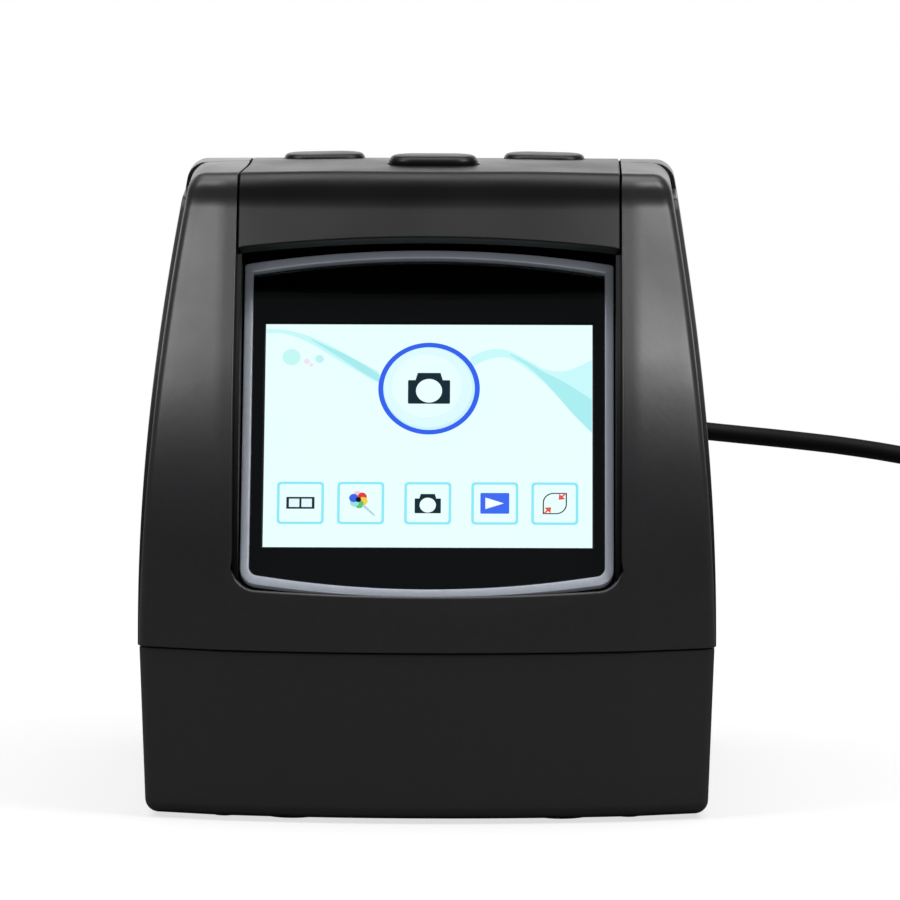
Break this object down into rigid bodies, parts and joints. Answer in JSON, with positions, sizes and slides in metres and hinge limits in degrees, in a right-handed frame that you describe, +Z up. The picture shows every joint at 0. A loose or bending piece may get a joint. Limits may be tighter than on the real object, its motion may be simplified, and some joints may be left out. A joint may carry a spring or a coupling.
{
  "type": "film negative scanner",
  "caption": "Upright desktop film scanner with a leaning colour screen, three keys on its roof, a film slot through both sides and a slim lead at the back.",
  "frame": {"origin": "on the table under the middle of the body, without the lead", "axes": "+X to the right as seen from the front, +Y to the back, +Z up"},
  "size_m": [0.1757, 0.1388, 0.0959],
  "materials": {
    "housing": "fine grained satin, dark charcoal",
    "cover": "smooth satin, a shade darker than the pillars",
    "base": "fine grained satin, near black",
    "feet": "soft matte",
    "screws": "zinc plated",
    "surround": "fine matte, black",
    "bezel": "silver grey satin",
    "lens_window": "clear acrylic with a black printed border",
    "display": "lit panel",
    "white_plastic": "matte white",
    "flex": "polyimide film",
    "buttons": "satin grey",
    "circuit_board": "solder mask over glass cloth",
    "switches": "moulded, matte",
    "power_key": "satin grey",
    "guide": "matte black, against stray light",
    "spring_steel": "thin strip",
    "diffuser": "opal acrylic",
    "lamps": "phosphor window in a white case",
    "barrel": "black anodised",
    "optical_glass": "coated",
    "sensor": "glass lidded package",
    "chips": "moulded epoxy",
    "pressed_steel": "tin plated sheet",
    "wires": "insulated wire",
    "plated_steel": "nickel plated sheet",
    "cord_jacket": "soft vinyl, satin"
  },
  "bodies": {
    "scanner": {"front_housing": "housing", "rear_housing": "housing", "top_cover": "cover", "base_housing": "base", "bottom_plate": "base", "rubber_feet": "feet", "housing_screws": "screws", "screen_surround": "surround", "screen_bezel": "bezel", "screen_lens": "lens_window", "display_panel": "display", "display_frame": "pressed_steel", "display_backlight": "white_plastic", "display_flex": "flex", "button_board": "circuit_board", "button_switches": "switches", "button_board_screws": "screws", "button_flex": "flex", "power_board": "circuit_board", "power_switch": "switches", "power_board_screws": "screws", "film_guide_lower": "guide", "film_guide_upper": "guide", "film_springs": "spring_steel", "lamp_box": "white_plastic", "diffuser_plate": "diffuser", "lamp_board": "circuit_board", "lamp_leds": "lamps", "chassis": "guide", "light_shade": "guide", "lens_holder": "guide", "lens_barrel": "barrel", "lens_elements": "optical_glass", "infrared_filter": "optical_glass", "image_sensor": "sensor", "sensor_board": "circuit_board", "sensor_screws": "screws", "main_board": "circuit_board", "board_chips": "chips", "usb_socket": "pressed_steel", "video_jack": "chips", "card_slot": "pressed_steel", "main_board_screws": "screws", "lamp_wires": "wires", "sensor_flex": "flex", "usb_plug_shell": "plated_steel", "usb_plug_grip": "cord_jacket", "usb_strain_relief": "cord_jacket", "usb_cord": "cord_jacket", "usb_cord_coil": "cord_jacket", "far_strain_relief": "cord_jacket", "far_plug_grip": "cord_jacket", "far_plug_shell": "plated_steel"},
    "left_button_key": {"left_button": "buttons"},
    "ok_button_key": {"ok_button": "buttons"},
    "right_button_key": {"right_button": "buttons"},
    "power_button_key": {"power_button": "power_key"}
  },
  "joints": [
    {"name": "left_button_press", "type": "slide", "parent": "scanner", "child": "left_button_key", "axis": [0, 0, -1], "range_m": [0, 0.0006], "stiffness_N_per_m": 900, "springref_m": -0.0005},
    {"name": "ok_button_press", "type": "slide", "parent": "scanner", "child": "ok_button_key", "axis": [0, 0, -1], "range_m": [0, 0.0006], "stiffness_N_per_m": 900, "springref_m": -0.0005},
    {"name": "right_button_press", "type": "slide", "parent": "scanner", "child": "right_button_key", "axis": [0, 0, -1], "range_m": [0, 0.0006], "stiffness_N_per_m": 900, "springref_m": -0.0005},
    {"name": "power_button_press", "type": "slide", "parent": "scanner", "child": "power_button_key", "axis": [0, -1, 0], "range_m": [0, 0.0005], "stiffness_N_per_m": 900, "springref_m": -0.0005}
  ]
}
